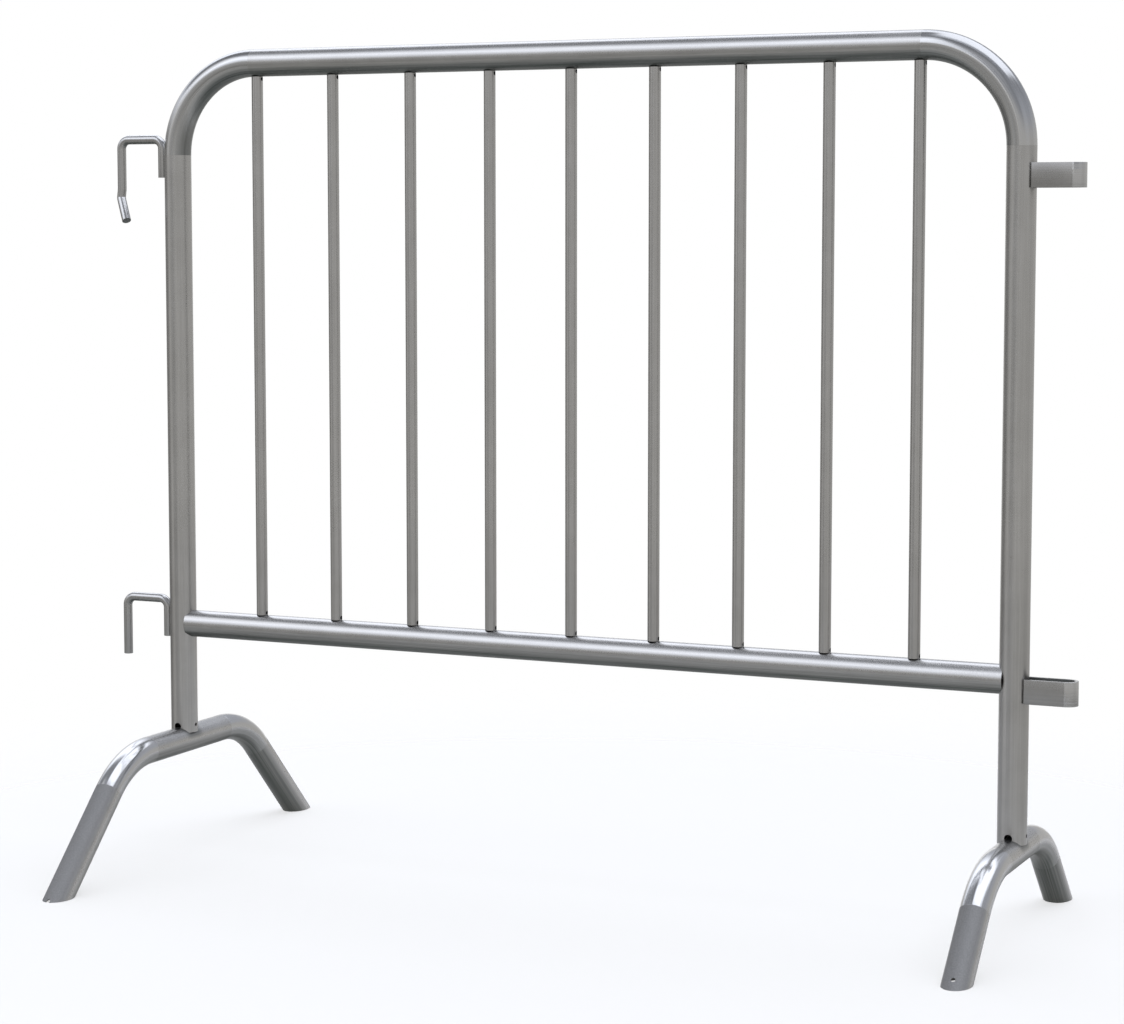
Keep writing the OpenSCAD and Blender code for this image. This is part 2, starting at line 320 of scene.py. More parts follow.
def steel_material(name, run_of, dull_of=None, dark_of=None, shade=1.0, bend_shade=1.0, painted_shade=1.0):
    """Satin steel. run_of gives the place across the bar, to its side and along it, and the share of a drawn bend;
    dull_of gives the share of a duller top, whose darker colour is painted shade, and dark_of a share of more painted
    shade.
    shade darkens the straight steel, bend_shade paints shade on the top of the bends, and the last argument scales
    the painted shade's colour."""
    look = finish_settings()
    material, g = new_material(name)
    place = g.add("ShaderNodeTexCoord", out="Object")
    x, y, z = g.split(place)
    across, side, along, bend = run_of(x, y, z)
    right, _, up = g.split(g.add("ShaderNodeNewGeometry", out="Normal"))
    speckle = g.noise(place, GRAIN_DETAIL, GRAIN_SCALE, NOISE_ROUGH)
    mottle = g.noise(place, MOTTLE_DETAIL, MOTTLE_SCALE, NOISE_ROUGH)
    lines_at = g.vector(across * GRAIN_SCALE, side * GRAIN_SCALE, along * LINES_ALONG)
    streak = g.noise(lines_at, LINES_DETAIL, roughness=NOISE_ROUGH)
    spots = speckle.ramp(*SPOTS_STEP)
    patches = mottle.ramp(*PATCHES_STEP)
    lines = streak.ramp(*LINES_STEP)
    down = -up
    # Share of painted shade: faces turned down, more of them near the ground, and the piece's own painted shade.
    below = down.ramp(*SHADE_DOWN).at_least(down.ramp(*SHADE_LOW_DOWN) * z.fade(*SHADE_LOW_TOP) * SHADE_LOW_SHARE)
    if dark_of:
        below = below.at_least(dark_of(x, y, z, up))
    mix = spots * SPOTS_SHARE + patches * PATCHES_SHARE + lines * LINES_SHARE
    colour = g.mixed(mix, rgba(look.steel_dark * shade), rgba(look.steel * shade))
    rough = look.satin - (ROUGH_SPOTS + ROUGH_PATCHES) / 2 + spots * ROUGH_SPOTS + patches * ROUGH_PATCHES
    height = speckle * BUMP_GRAIN + streak * BUMP_LINES
    metallic = 1.0
    if dull_of:
        # Legs' tops: rougher, less metallic steel whose darker colour is painted shade, with painted light on faces
        # turned right.
        dull = dull_of(x, y, z) * up.ramp(*DULL_UP)
        matt_side_lit = g.mixed(right.ramp(*PAINTED_SIDE_RAMP), rgba(look.leg * PAINTED_SIDE_SHADE), rgba(look.leg * PAINTED_SIDE_LIGHT))
        colour = g.mixed(dull * (DULL_COVER - spots * DULL_PITS), colour, matt_side_lit)
        rough = rough + dull * (look.legs - look.satin)
        height = height + dull * (speckle * DULL_GRAIN - streak * DULL_LINES)
        metallic = 1.0 - dull * DULL_METAL
    if bend is not None:
        draw = g.noise(g.vector(across * DRAW_SCALE, side * DRAW_SCALE, along), DRAW_DETAIL)
        drawn = g.mixed(lines * DRAWN_LINES + DRAWN_LEAST, rgba(look.steel), rgba(look.bend))
        if bend_shade < 1.0:
            # Painted shade on the faces of the bends turned up.
            drawn = g.mixed(up.ramp(*DRAWN_UP) * (1.0 - bend_shade), drawn, BLACK)
        colour = g.mixed(bend, colour, drawn)
        rough = rough.towards(look.drawn - ROUGH_LINES / 2 + lines * ROUGH_LINES, bend)
        height = height - speckle * bend * BUMP_GRAIN + draw * bend * BUMP_DRAW
    # Painted shade, broken up by the lines, on faces that are also rougher.
    rough = rough + below * UNDERSIDE_ROUGH
    colour = g.mixed(below * (1.0 - lines * SHADE_LINE_BREAK), colour, rgba(look.painted_shade_tone * painted_shade))
    g.metal(colour, metallic, rough, height, BUMP_STRENGTH, BUMP_DEPTH)
    return material


WELD_SCALE, WELD_DETAIL, WELD_TINT_SCALE, WELD_TINT_DETAIL = 420.0, 4.0, 160.0, 2.0
WELD_TINT_STEP, WELD_BRIGHT_STEP = (0.4, 0.7), (0.35, 0.7)
WELD_WARM, WELD_BRIGHT = (0.34, 0.30, 0.26, 1.0), (0.55, 0.55, 0.55, 1.0)
WELD_ROUGH, WELD_ROUGH_MORE = 0.32, 0.22
WELD_BUMP, WELD_BUMP_DEPTH = 0.4, 0.6 * MM


def weld_material():
    """Rippled weld metal with a heat tint."""
    material, g = new_material("weld_steel")
    place = g.add("ShaderNodeTexCoord", out="Object")
    scale = g.noise(place, WELD_DETAIL, WELD_SCALE, NOISE_ROUGH)
    tint = g.noise(place, WELD_TINT_DETAIL, WELD_TINT_SCALE)
    warm = g.mixed(tint.ramp(*WELD_TINT_STEP), rgba(finish_settings().weld), WELD_WARM)
    colour = g.mixed(scale.ramp(*WELD_BRIGHT_STEP), warm, WELD_BRIGHT)
    g.metal(colour, 1.0, WELD_ROUGH + scale * WELD_ROUGH_MORE, scale, WELD_BUMP, WELD_BUMP_DEPTH)
    return material


def bar_run(axis):
    """Place across and along a straight bar whose axis is x, y or z."""

    def run_of(x, y, z):
        parts = [x, y, z]
        along = parts.pop(axis)
        return parts[0], parts[1], along, None

    return run_of


def hoop_run(x, y, z):
    """Place across and along the hoop, and the share of its two drawn corners."""
    bend_r = tube_settings().hoop_bend
    half = (RIGHT_X - LEFT_X) / 2
    out = abs(x - (LEFT_X + half)) - (half - bend_r)
    rise = z - (TOP_Z - bend_r)
    a, b = out.at_least(0.0), rise.at_least(0.0)
    return (a * a + b * b).root() - bend_r, y, x + z, out.step() * rise.step()


CORNER_SHADE, CORNER_FROM, CORNER_TO = 0.7, -0.2, 0.95


def hoop_corner_shade(x, y, z, up):
    """Share of painted shade on the inner side of the hoop's corners."""
    across, _, _, bend = hoop_run(x, y, z)
    r = tube_settings().tube_d / 2
    return bend * (-across).ramp(CORNER_FROM * r, CORNER_TO * r) * CORNER_SHADE


def foot_shape(node):
    """Height of the axis of a foot's crest, and half the straight stretch there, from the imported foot's reach."""
    s = tube_settings()
    r = s.tube_d / 2
    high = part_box(node)[1]
    crest = high.z - r
    return crest, high.y - r / LEG_SLOPE - crest - s.foot_bend * BEND_CUT


def foot_place(node, y, z):
    """Place on a foot, outwards and upwards from the centre of its bend."""
    crest, flat = foot_shape(node)
    return abs(y) - flat, z - (crest - tube_settings().foot_bend)


def foot_run(node):
    """Place across and along a foot, and the share of its two drawn bends."""
    bend_r = tube_settings().foot_bend

    def run_of(x, y, z):
        out, rise = foot_place(node, y, z)
        a = out.at_least(0.0)
        leg = leg_of(node)(x, y, z)
        arc = (a * a + rise * rise).root() - bend_r
        straight = (out + rise) * LEG_SLOPE - bend_r
        return arc.towards(straight, leg), x, y, out.step() * (1.0 - leg)

    return run_of


def leg_of(node):
    """Share of the straight legs of a foot."""

    def share_of_leg(x, y, z):
        out, rise = foot_place(node, y, z)
        return (out - rise).step(soft=LEG_EDGE)

    return share_of_leg


# Painted shade on the undersides of the legs, and a painted contact shadow on the crest round the upright.
LEG_UNDER_SHADE, LEG_UNDER_DOWN = 0.85, (-0.05, 0.4)
CONTACT_SHADOW, CONTACT_SHADOW_REACH, CONTACT_SHADOW_UP = 0.6, 1.55, (0.0, 0.5)


def leg_shade(node):
    """Share of painted shade on the undersides of a foot's legs, and of a painted contact shadow round the upright.
    """

    def share_shaded(x, y, z, up):
        legs = leg_of(node)(x, y, z) * (-up).ramp(*LEG_UNDER_DOWN) * LEG_UNDER_SHADE
        off = x - middle(node, 0)
        r = tube_settings().tube_d / 2
        # Painted contact shadow on the crest round the upright.
        spot = (off * off + y * y).root().fade(r, CONTACT_SHADOW_REACH * r)
        return legs.at_least(spot * up.ramp(*CONTACT_SHADOW_UP) * CONTACT_SHADOW)

    return share_shaded


BORE_DEEP, BORE_SHALLOW = 0.45 * MM, 0.15 * MM


def picket_bore_shade(x, y, z, up):
    """Share of painted shade in the bores and vents of the pickets."""
    first = middle(PICKETS[0], 0)
    pitch = (middle(PICKETS[-1], 0) - first) / (len(PICKETS) - 1)
    place = (x - first) / pitch
    off = (place - place.whole()) * pitch
    skin = tube_settings().picket_d / 2
    return (off * off + y * y).root().fade(skin - BORE_DEEP, skin - BORE_SHALLOW)


def strap_reach(x, y):
    """Distance from the middle line of a loop."""
    a = (x - (RIGHT_X + fitting_settings().loop_flat)).at_least(0.0)
    return (a * a + y * y).root()


def strap_run(x, y, z):
    """Place across and along a loop's strap, and the share of its round end."""
    return strap_reach(x, y), z, x, x.step(RIGHT_X + fitting_settings().loop_flat)


# Painted shade on the inner face of a loop.
STRAP_INNER_SHADE, STRAP_INNER_FROM, STRAP_INNER_TO = 0.85, 0.4 * MM, 1.2 * MM


def strap_inner_shade(x, y, z, up):
    """Share of painted shade on the inner face of a loop."""
    half = fitting_settings().loop_gap / 2
    return STRAP_INNER_SHADE - strap_reach(x, y).ramp(half + STRAP_INNER_FROM, half + STRAP_INNER_TO) * STRAP_INNER_SHADE


HOOK_DRAWN = 0.35


def hook_run(x, y, z):
    """Place across and along the hooks, and one share of drawn steel for the whole rod."""
    return x, y, z, HOOK_DRAWN


def new_tree(name, inputs):
    """A geometry node tree with named inputs. Returns the graph, its inputs by name and their identifiers."""
    tree = bpy.data.node_groups.new(name, "GeometryNodeTree")
    tree.interface.new_socket("Geometry", in_out="INPUT", socket_type="NodeSocketGeometry")
    tree.interface.new_socket("Geometry", in_out="OUTPUT", socket_type="NodeSocketGeometry")
    keys = {}
    for label, kind in inputs:
        keys[label] = tree.interface.new_socket(label, in_out="INPUT", socket_type=kind).identifier
    g = Graph(tree)
    source = g.add("NodeGroupInput").socket.node
    return g, {out.name: Sum(g, out) for out in source.outputs if out.name}, keys


def close_tree(g, mesh, material):
    """Ends a tree in Realize Instances and Set Material."""
    real = g.add("GeometryNodeRealizeInstances", sockets={"Geometry": mesh})
    done = g.add("GeometryNodeSetMaterial", sockets={"Geometry": real, "Material": material})
    g.add("NodeGroupOutput", sockets={0: done})


def bent_bar_tree():
    """Sweeps a round or flat bar along a path whose points carry their own bend radius."""
    g, given, keys = new_tree("bent_bar", [
        ("Bar radius", "NodeSocketFloat"), ("Sides", "NodeSocketInt"), ("Bend steps", "NodeSocketInt"),
        ("Run past", "NodeSocketFloat"), ("Flat thickness", "NodeSocketFloat"), ("Flat width", "NodeSocketFloat"),
        ("Flat", "NodeSocketBool"), ("Material", "NodeSocketMaterial")])
    radius = g.add("GeometryNodeInputRadius")
    path = g.add("GeometryNodeFilletCurve", {"mode": "POLY"}, {
        "Curve": given["Geometry"], "Count": given["Bend steps"], "Radius": radius, "Limit Radius": True})
    path = g.add("GeometryNodeSetCurveRadius", sockets={"Curve": path, "Radius": 1.0})
    start = g.add("GeometryNodeCurveEndpointSelection", sockets={"Start Size": 1, "End Size": 0})
    end = g.add("GeometryNodeCurveEndpointSelection", sockets={"Start Size": 0, "End Size": 1})
    along = g.add("GeometryNodeInputTangent")
    offset = g.add("ShaderNodeVectorMath", {"operation": "SCALE"}, {
        0: along, "Scale": (end - start) * given["Run past"]})
    path = g.add("GeometryNodeSetPosition", sockets={"Geometry": path, "Offset": offset})
    ring = g.add("GeometryNodeCurvePrimitiveCircle", {"mode": "RADIUS"}, {
        "Resolution": given["Sides"], "Radius": given["Bar radius"]})
    flat = g.add("GeometryNodeCurvePrimitiveQuadrilateral", {"mode": "RECTANGLE"}, {
        "Width": given["Flat thickness"], "Height": given["Flat width"]})
    profile = g.add("GeometryNodeSwitch", {"input_type": "GEOMETRY"}, {
        "Switch": given["Flat"], "False": ring, "True": flat})
    bar = g.add("GeometryNodeCurveToMesh", sockets={"Curve": path, "Profile Curve": profile, "Fill Caps": True})
    close_tree(g, bar, given["Material"])
    return g.tree, keys


LUMP_LEAST, LUMP_MOST, LUMP_FLAT, LUMP_LEVELS = 0.9, 1.06, 0.55, 3


def weld_bead_tree():
    """Lays overlapping lumps of weld along a path."""
    g, given, keys = new_tree("weld_bead", [
        ("Bead radius", "NodeSocketFloat"), ("Step", "NodeSocketFloat"), ("Seed", "NodeSocketInt"),
        ("Material", "NodeSocketMaterial")])
    dots = g.add("GeometryNodeCurveToPoints", {"mode": "LENGTH"}, {
        "Curve": given["Geometry"], "Length": given["Step"]})
    turn = Sum(g, dots.socket.node.outputs["Rotation"])
    lump = g.add("GeometryNodeMeshIcoSphere", sockets={
        "Radius": given["Bead radius"], "Subdivisions": LUMP_LEVELS})
    size = g.add("FunctionNodeRandomValue", {"data_type": "FLOAT"}, {
        2: LUMP_LEAST, 3: LUMP_MOST, "Seed": given["Seed"]}, out=1)
    bead = g.add("GeometryNodeInstanceOnPoints", sockets={
        "Points": dots, "Instance": lump, "Rotation": turn, "Scale": g.vector(size, size, size * LUMP_FLAT)})
    close_tree(g, bead, given["Material"])
    return g.tree, keys


TREES = {}


def tree_of(name):
    """A geometry node tree, built once."""
    if name not in TREES:
        TREES[name] = {"bent_bar": bent_bar_tree, "weld_bead": weld_bead_tree}[name]()
    return TREES[name]


def placed(name, data):
    """A new object in the scene."""
    body = bpy.data.objects.new(name, data)
    bpy.context.scene.collection.objects.link(body)
    return body


def meshed(name, shape):
    """A mesh from a finished bmesh."""
    mesh = bpy.data.meshes.new(name)
    shape.to_mesh(mesh)
    shape.free()
    return mesh


def evaluated(body):
    """A plain mesh of an object with its modifiers."""
    return bpy.data.meshes.new_from_object(body.evaluated_get(bpy.context.evaluated_depsgraph_get()))


def applied(body):
    """Turns a piece with modifiers into its plain mesh."""
    mesh = evaluated(body)
    body.modifiers.clear()
    old, body.data = body.data, mesh
    mesh.name = body.name
    bpy.data.meshes.remove(old)
    return body


def path_object(name, runs):
    """A poly curve object; each run is a list of (point, bend radius)."""
    curve = bpy.data.curves.new(name, "CURVE")
    curve.dimensions = "3D"
    for run in runs:
        spline = curve.splines.new("POLY")
        spline.points.add(len(run) - 1)
        for spot, (point, bend) in zip(spline.points, run):
            spot.co = (point[0], point[1], point[2], 1.0)
            spot.radius = bend
    return placed(name, curve)


def grown(name, runs, tree_name, values):
    """Runs a geometry node tree on a path and returns the result as a plain mesh object."""
    source = path_object(name + "_path", runs)
    tree, keys = tree_of(tree_name)
    modifier = source.modifiers.new(tree_name, "NODES")
    modifier.node_group = tree
    for label, value in values.items():
        modifier[keys[label]] = value
    mesh = evaluated(source)
    source.modifiers.remove(modifier)
    curve = source.data
    bpy.data.objects.remove(source)
    bpy.data.curves.remove(curve)
    mesh.name = name
    return placed(name, mesh)


STRAIGHT_STEP = 90 * MM
LEAST_TURN = 0.001


def eased(run):
    """Adds points on the straight stretches of a path, clear of its bends."""
    points = []
    cut = []
    for i, (point, bend) in enumerate(run):
        back = 0.0
        if 0 < i < len(run) - 1:
            a = (Vector(run[i - 1][0]) - Vector(point)).normalized()
            b = (Vector(run[i + 1][0]) - Vector(point)).normalized()
            back = bend / math.tan(max(a.angle(b) / 2, LEAST_TURN))
        cut.append(back)
    for i, (point, bend) in enumerate(run):
        points.append((point, bend))
        if i + 1 == len(run):
            break
        a, b = Vector(point), Vector(run[i + 1][0])
        reach = (b - a).length
        clear = reach - cut[i] - cut[i + 1]
        count = int(clear / STRAIGHT_STEP)
        for k in range(1, count + 1):
            at = (cut[i] + clear * k / (count + 1)) / reach
            points.append((tuple(a.lerp(b, at)), 0.0))
    return points


# Sides of round pieces and cutters, and steps in a bend.
TUBE_SIDES, PICKET_SIDES, ROD_SIDES = 64, 40, 48
SADDLE_SIDES, HOLE_SIDES, SMALL_HOLE_SIDES = 96, 48, 32
TUBE_STEPS, ROD_STEPS, STRAP_STEPS = 28, 16, 24
BORE_PAST = 1 * MM
# Size and sides of the profile that a bar doesn't use.
SPARE_SIZE, SPARE_SIDES = 10 * MM, 12


def bent_bar(name, run, material, steps, radius=SPARE_SIZE, sides=SPARE_SIDES, past=0.0, flat=None):
    """A solid bent bar as a mesh object: round, or flat where flat gives its thickness and width."""
    thickness, width = flat or (SPARE_SIZE, SPARE_SIZE)
    return grown(name, [run], "bent_bar", {
        "Bar radius": radius, "Sides": sides, "Bend steps": steps, "Run past": past,
        "Flat thickness": thickness, "Flat width": width, "Flat": flat is not None, "Material": material})


def hollow(name, run, diameter, wall, material, cutters, sides=TUBE_SIDES):
    """A bent tube with a true bore and its cuts."""
    path = eased(run)
    body = bent_bar(name, path, material, TUBE_STEPS, diameter / 2, sides)
    bore = bent_bar(name + "_bore", path, material, TUBE_STEPS, (diameter - 2 * wall) / 2, sides, BORE_PAST)
    inner = bore.data
    bpy.data.objects.remove(bore)
    return carved(body, [inner, *cutters])


def plug(start, end, diameter, sides=HOLE_SIDES):
    """A round cutter between two points."""
    start, end = Vector(start), Vector(end)
    shape = bmesh.new()
    place = Matrix.Translation((start + end) / 2) @ (end - start).to_track_quat("Z", "Y").to_matrix().to_4x4()
    bmesh.ops.create_cone(
        shape, cap_ends=True, segments=sides, radius1=diameter / 2, radius2=diameter / 2,
        depth=(end - start).length, matrix=place)
    return meshed("cutter", shape)


def slab(low, high):
    """A box cutter."""
    low, high = Vector(low), Vector(high)
    shape = bmesh.new()
    place = Matrix.Translation((low + high) / 2) @ Matrix.Diagonal((*(high - low), 1.0))
    bmesh.ops.create_cube(shape, size=1.0, matrix=place)
    return meshed("cutter", shape)


def carved(body, cutters):
    """Cuts the cutter meshes out of a piece."""
    spent = [placed("cutter", mesh) for mesh in cutters]
    for cutter in spent:
        cut = body.modifiers.new("cut", "BOOLEAN")
        cut.operation = "DIFFERENCE"
        cut.solver = "EXACT"
        cut.object = cutter
    applied(body)
    for cutter in spent:
        used = cutter.data
        bpy.data.objects.remove(cutter)
        bpy.data.meshes.remove(used)
    return body


ROUND_STEPS, ROUND_FROM = 3, math.radians(50)


def rounded(body, width):
    """Rounds the cut edges of a piece."""
    bevel = body.modifiers.new("edges", "BEVEL")
    bevel.width = width
    bevel.segments = ROUND_STEPS
    bevel.limit_method = "ANGLE"
    bevel.angle_limit = ROUND_FROM
    return applied(body)


CRISP, WELD_CRISP = math.radians(32), math.radians(60)


def settled(body, material, node, crisp=CRISP):
    """Smooth shading with crisp edges, one material, and the CAD node that the piece stands for."""
    mesh = body.data
    if not mesh.polygons:
        raise RuntimeError("no faces on " + body.name)
    mesh.materials.clear()
    mesh.materials.append(material)
    for face in mesh.polygons:
        face.material_index = 0
    mesh.shade_smooth()
    mesh.set_sharp_from_angle(angle=crisp)
    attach(body, "root")
    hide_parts(node)


# How much of the bends' colour is kept under the painted shade on the top of the hoop's corners.
HOOP_BEND_SHADE = 0.74


class BARRIER_OT_frame(bpy.types.Operator):
    """Bent hoop and bottom rail, with saddle cuts and vent holes"""
    bl_idname = "barrier.frame"
    bl_label = "Hoop and bottom rail"

    def execute(self, context):
        s = tube_settings()
        r = s.tube_d / 2
        trim = r * s.saddle
        ends = []
        cuts = []
        for node, x in FEET:
            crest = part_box(node)[1].z
            axis = crest - r
            front, side = crest + s.front_vent_rise, crest + s.side_vent_rise
            ends.append((x, 0, axis + trim))
            cuts.append(plug((x, -s.tube_d, axis), (x, s.tube_d, axis), s.tube_d, SADDLE_SIDES))
            cuts.append(plug((x, -s.tube_d, front), (x, 0, front), s.front_vent))
            cuts.append(plug((x, 0, side), (x + s.tube_d, 0, side), s.side_vent))
        steel = steel_material("satin_hoop", hoop_run, dark_of=hoop_corner_shade, bend_shade=HOOP_BEND_SHADE)
        run = [(ends[0], 0), ((LEFT_X, 0, TOP_Z), s.hoop_bend), ((RIGHT_X, 0, TOP_Z), s.hoop_bend), (ends[1], 0)]
        hoop = hollow("frame_hoop_tube", run, s.tube_d, s.tube_wall, steel, cuts)
        settled(hoop, steel, "frame_hoop")
        steel = steel_material("satin_rail", bar_run(0))
        run = [((LEFT_X + trim, 0, RAIL_Z), 0), ((RIGHT_X - trim, 0, RAIL_Z), 0)]
        saddles = [plug((x, 0, RAIL_Z - s.tube_d), (x, 0, RAIL_Z + s.tube_d), s.tube_d, SADDLE_SIDES)
                   for x in (LEFT_X, RIGHT_X)]
        rail = hollow("bottom_rail_tube", run, s.tube_d, s.tube_wall, steel, saddles)
        settled(rail, steel, "bottom_rail")
        return {"FINISHED"}


# Scale of the painted shade colour on the pickets, darkest in their bores.
PICKET_SHADE_DEPTH = 0.25


class BARRIER_OT_pickets(bpy.types.Operator):
    """Thin vertical tubes with a vent hole near each end"""
    bl_idname = "barrier.pickets"
    bl_label = "Pickets"

    def execute(self, context):
        s = tube_settings()
        steel = steel_material("satin_pickets", bar_run(2), dark_of=picket_bore_shade, painted_shade=PICKET_SHADE_DEPTH)
        for node in PICKETS:
            low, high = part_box(node)
            x = middle(node, 0)
            run = [((x, 0, low.z), 0), ((x, 0, high.z), 0)]
            vents = [plug((x, 0, z), (x + s.picket_d, 0, z), s.picket_vent, SMALL_HOLE_SIDES)
                     for z in (low.z + s.picket_vent_in, high.z - s.picket_vent_in)]
            body = hollow(node + "_tube", run, s.picket_d, s.picket_wall, steel, vents, PICKET_SIDES)
            settled(body, steel, node)
        return {"FINISHED"}


# How far the legs run below the ground before they are cut, and the box that cuts them.
LEG_SPARE = 40 * MM
GROUND_WIDE, GROUND_LONG, GROUND_DEEP = 100 * MM, 600 * MM, 200 * MM


class BARRIER_OT_feet(bpy.types.Operator):
    """Bridge feet: a bent tube with two splayed legs cut flat on the ground"""
    bl_idname = "barrier.feet"
    bl_label = "Feet"

    def execute(self, context):
        s = tube_settings()
        r = s.tube_d / 2
        for (node, x), vent_in in zip(FEET, (s.left_vent_in, s.right_vent_in)):
            crest, flat = foot_shape(node)
            corner = flat + s.foot_bend * BEND_CUT
            far = corner + crest + LEG_SPARE
            run = [((x, -far, -LEG_SPARE), 0), ((x, -corner, crest), s.foot_bend), ((x, corner, crest), s.foot_bend),
                   ((x, far, -LEG_SPARE), 0)]
            cuts = [slab((x - GROUND_WIDE, -GROUND_LONG, -GROUND_DEEP), (x + GROUND_WIDE, GROUND_LONG, 0.0))]
            tip = corner + crest + r / LEG_SLOPE
            for side in (-1, 1):
                at = Vector((x, side * (tip - vent_in * LEG_SLOPE), vent_in * LEG_SLOPE))
                out = Vector((0, side * LEG_SLOPE, LEG_SLOPE)) * r
                cuts.append(plug(at - out, at + out, s.leg_vent, SMALL_HOLE_SIDES))
            steel = steel_material("satin_" + node, foot_run(node), leg_of(node), leg_shade(node))
            settled(hollow(node + "_tube", run, s.tube_d, s.tube_wall, steel, cuts), steel, node)
        return {"FINISHED"}


# The tail leans from straight down and turns towards the front.
TAIL_LEAN, TAIL_TURN = math.radians(34), math.radians(42)
HOOK_SHADE = 0.85


class BARRIER_OT_hooks(bpy.types.Operator):
    """Round rod hooks on the left upright; the upper one has a kinked tail"""
    bl_idname = "barrier.hooks"
    bl_label = "Hooks"

    def execute(self, context):
        s = fitting_settings()
        short_x = LEFT_X - tube_settings().tube_d / 2 - s.rod_d / 2
        long_x = short_x - s.hook_gap
        lean = math.sin(TAIL_LEAN)
        tail = Vector((lean * math.cos(TAIL_TURN), -lean * math.sin(TAIL_TURN), -math.cos(TAIL_LEAN)))
        steel = steel_material("satin_rod", hook_run, shade=HOOK_SHADE)
        for node in HOOKS:
            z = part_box(node)[1].z - s.rod_d / 2
            run = [((short_x, 0, z - s.hook_short), 0), ((short_x, 0, z), s.hook_bend), ((long_x, 0, z), s.hook_bend)]
            if node == "upper_hook":
                kink = Vector((long_x, 0, z - s.hook_kink))
                elbow = kink - Vector((s.kink_out, 0, 0))
                run += [(tuple(kink + Vector((0, 0, s.rod_d))), s.rod_d), (tuple(elbow), s.rod_d / 2),
                        (tuple(kink + tail * s.tail_len), 0)]
            else:
                run += [((long_x, 0, z - s.hook_long), 0)]
            body = bent_bar(node + "_rod", eased(run), steel, ROD_STEPS, s.rod_d / 2, ROD_SIDES)
            settled(rounded(body, s.edge_round), steel, node)
        return {"FINISHED"}


STRAP_SHADE = 0.86


def strap_root():
    """Where the straps meet the right upright."""
    r = tube_settings().tube_d / 2
    gap = fitting_settings().loop_gap
    return RIGHT_X + math.sqrt(r * r - gap * gap / 4)


class BARRIER_OT_loops(bpy.types.Operator):
    """Flat straps bent to a U on the right upright"""
    bl_idname = "barrier.loops"
    bl_label = "Loops"

    def execute(self, context):
        s = fitting_settings()
        mid = s.loop_gap / 2 + s.strap_t / 2
        root, far = strap_root(), RIGHT_X + s.loop_flat + mid
        steel = steel_material("satin_strap", strap_run, dark_of=strap_inner_shade, shade=STRAP_SHADE)
        for node in LOOPS:
            z = middle(node, 2)
            run = [((root, -mid, z), 0), ((far, -mid, z), mid), ((far, mid, z), mid), ((root, mid, z), 0)]
            body = bent_bar(node + "_strap", run, steel, STRAP_STEPS, flat=(s.strap_t, s.strap_w))
            settled(rounded(body, s.edge_round), steel, node)
        return {"FINISHED"}


# Stretches of the welds round their joints, in degrees from the right (rail: from below) towards the back.
PICKET_ARC, RAIL_ARC, FOOT_ARC, ARC_STEPS = (78, 150), (20, 48), (76, 122), 24
RAIL_SIDE, FOOT_RISE = math.sin(math.radians(56)), math.sin(math.radians(70))
HOOK_BEAD_IN = 3 * MM
TUBE_BEAD, HOOK_BEAD, BEAD_STEP, BEAD_SEED = 0.95, 1.9, 0.5, 7


def weld_arc(centre, radius, stretch, across=(1, 0, 0), along=(0, 1, 0)):
    """Path of a weld round part of a circle."""
    a, b = Vector(across), Vector(along)
    start, end = stretch
    turns = [math.radians(start + (end - start) * k / ARC_STEPS) for k in range(ARC_STEPS + 1)]
    return [(tuple(Vector(centre) + (a * math.cos(w) + b * math.sin(w)) * radius), 0) for w in turns]


class BARRIER_OT_welds(bpy.types.Operator):
    """Weld beads on the far sides of the joints"""
    bl_idname = "barrier.welds"
    bl_label = "Welds"

    def execute(self, context):
        s = fitting_settings()
        t = tube_settings()
        r, p = t.tube_d / 2, t.picket_d / 2
        tops = [weld_arc((middle(n, 0), 0, TOP_Z - r), p, PICKET_ARC) for n in PICKETS]
        bottoms = [weld_arc((middle(n, 0), 0, RAIL_Z + r), p, PICKET_ARC) for n in PICKETS]
        rails = [weld_arc((x + side * r * RAIL_SIDE, 0, RAIL_Z), r, RAIL_ARC, (0, 0, -1))
                 for x, side in ((LEFT_X, 1), (RIGHT_X, -1))]
        feet = [weld_arc((x, 0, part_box(n)[1].z - r + r * FOOT_RISE), r, FOOT_ARC) for n, x in FEET]
        hooks = []
        for node in HOOKS:
            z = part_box(node)[1].z - s.rod_d / 2
            hooks.append([((LEFT_X - r, s.bead_small, z - s.hook_bend - HOOK_BEAD_IN), 0),
                          ((LEFT_X - r, s.bead_small, z - s.hook_short + HOOK_BEAD_IN), 0)])
        loops = []
        root, edge = strap_root(), s.loop_gap / 2 + s.strap_t
        for node in LOOPS:
            z = middle(node, 2)
            loops.append([((root, edge, z - s.strap_w / 3), 0), ((root, edge, z + s.strap_w / 3), 0)])
        steel = weld_material()
        for node, runs, radius in (
                ("picket_top_welds", tops, s.bead_small), ("picket_bottom_welds", bottoms, s.bead_small),
                ("rail_welds", rails, s.bead_large * TUBE_BEAD), ("foot_welds", feet, s.bead_large * TUBE_BEAD),
                ("hook_welds", hooks, s.bead_small * HOOK_BEAD), ("loop_welds", loops, s.bead_large * TUBE_BEAD)):
            body = grown(node + "_beads", runs, "weld_bead", {
                "Bead radius": radius, "Step": radius * BEAD_STEP, "Seed": BEAD_SEED, "Material": steel})
            settled(body, steel, node, WELD_CRISP)
        return {"FINISHED"}


# Floor: half its side, where it fades out, and how clear it is in the middle.
FLOOR_HALF, FLOOR_FADE, FLOOR_CLEAR = 1.75, (0.85, 1.7), 0.62


